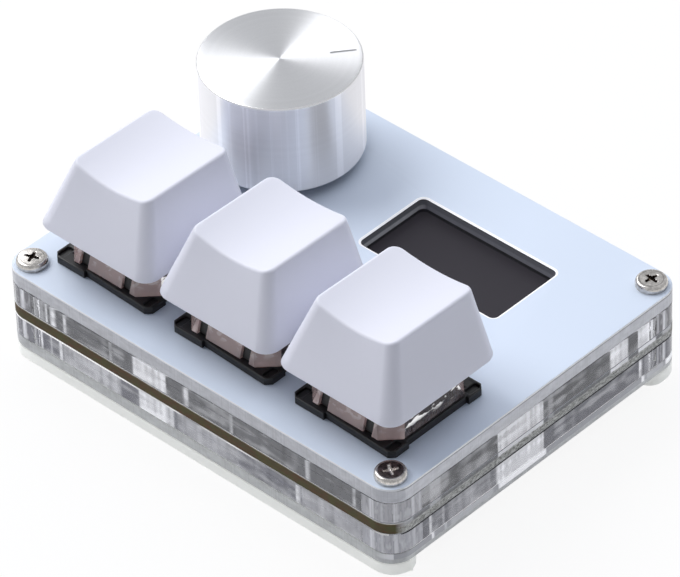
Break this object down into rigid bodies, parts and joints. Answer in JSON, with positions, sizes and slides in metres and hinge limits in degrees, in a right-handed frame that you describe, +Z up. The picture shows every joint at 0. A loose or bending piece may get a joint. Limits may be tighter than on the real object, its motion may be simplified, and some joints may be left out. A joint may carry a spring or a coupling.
{
  "type": "macro keypad",
  "caption": "Small desk keypad built as a stack of plates: a row of sprung keys, a turned press-and-turn knob and a display window.",
  "frame": {"origin": "on the surface the keypad stands on, under the middle of the case", "axes": "+X runs along the key row to the right, +Y runs from the keys to the knob and the display, +Z is up"},
  "size_m": [0.062, 0.0494, 0.0274],
  "materials": {
    "plate_white": "satin",
    "clear_acrylic": "clear, polished",
    "board_brown": "sawn edge of a laminate",
    "foot_white": "translucent, smooth",
    "screw_steel": "nickel plated",
    "nickel": "turned, nickel plated",
    "cap_white": "fine satin",
    "black_plastic": "moulded",
    "housing_clear": "milky, translucent",
    "stem_plastic": "moulded",
    "spring_steel": "drawn",
    "contact_brass": "stamped",
    "knob_aluminium": "turned, with a polished rim",
    "screw_black": "blackened",
    "plated_steel": "tin plated",
    "rotor_plastic": "moulded",
    "display_glass": "dark panel, semi-gloss",
    "foam_grey": "closed-cell foam",
    "ribbon_film": "flexible film",
    "board_parts_tan": "small surface-mount parts"
  },
  "bodies": {
    "case": {"top_plate": "plate_white", "upper_frame": "clear_acrylic", "lower_frame": "clear_acrylic", "bottom_plate": "clear_acrylic", "circuit_board": "board_brown", "front_foot": "foot_white", "rear_foot": "foot_white", "corner_screws": "screw_steel", "base_screws": "screw_steel", "standoffs": "nickel", "switch_base_1": "black_plastic", "switch_top_1": "housing_clear", "switch_spring_1": "spring_steel", "switch_contacts_1": "contact_brass", "switch_base_2": "black_plastic", "switch_top_2": "housing_clear", "switch_spring_2": "spring_steel", "switch_contacts_2": "contact_brass", "switch_base_3": "black_plastic", "switch_top_3": "housing_clear", "switch_spring_3": "spring_steel", "switch_contacts_3": "contact_brass", "encoder_base": "black_plastic", "encoder_cover": "plated_steel", "encoder_pins": "plated_steel", "usb_shell": "plated_steel", "encoder_dome": "spring_steel", "display_panel": "display_glass", "display_pad": "foam_grey", "display_ribbon": "ribbon_film", "usb_tongue": "black_plastic", "controller_chip": "black_plastic", "chip_leads": "plated_steel", "board_parts": "board_parts_tan"},
    "key_1": {"keycap_1": "cap_white", "switch_stem_1": "stem_plastic"},
    "key_2": {"keycap_2": "cap_white", "switch_stem_2": "stem_plastic"},
    "key_3": {"keycap_3": "cap_white", "switch_stem_3": "stem_plastic"},
    "dial": {"encoder_rotor": "rotor_plastic"},
    "knob": {"knob": "knob_aluminium", "knob_screw": "screw_black", "encoder_shaft": "plated_steel"}
  },
  "joints": [
    {"name": "key_1_press", "type": "slide", "parent": "case", "child": "key_1", "axis": [0, 0, -1], "range_m": [0, 0.004], "stiffness_N_per_m": 75, "springref_m": -0.004, "deforming": ["switch_spring_1"]},
    {"name": "key_2_press", "type": "slide", "parent": "case", "child": "key_2", "axis": [0, 0, -1], "range_m": [0, 0.004], "stiffness_N_per_m": 75, "springref_m": -0.004, "deforming": ["switch_spring_2"]},
    {"name": "key_3_press", "type": "slide", "parent": "case", "child": "key_3", "axis": [0, 0, -1], "range_m": [0, 0.004], "stiffness_N_per_m": 75, "springref_m": -0.004, "deforming": ["switch_spring_3"]},
    {"name": "knob_spin", "type": "hinge", "parent": "case", "child": "dial", "pos_m": [-0.021, 0.01255, 0.015], "axis": [0, 0, 1], "continuous": true},
    {"name": "knob_press", "type": "slide", "parent": "dial", "child": "knob", "axis": [0, 0, -1], "range_m": [0, 0.0005], "stiffness_N_per_m": 3000, "springref_m": -0.0003, "deforming": ["encoder_dome"]}
  ]
}
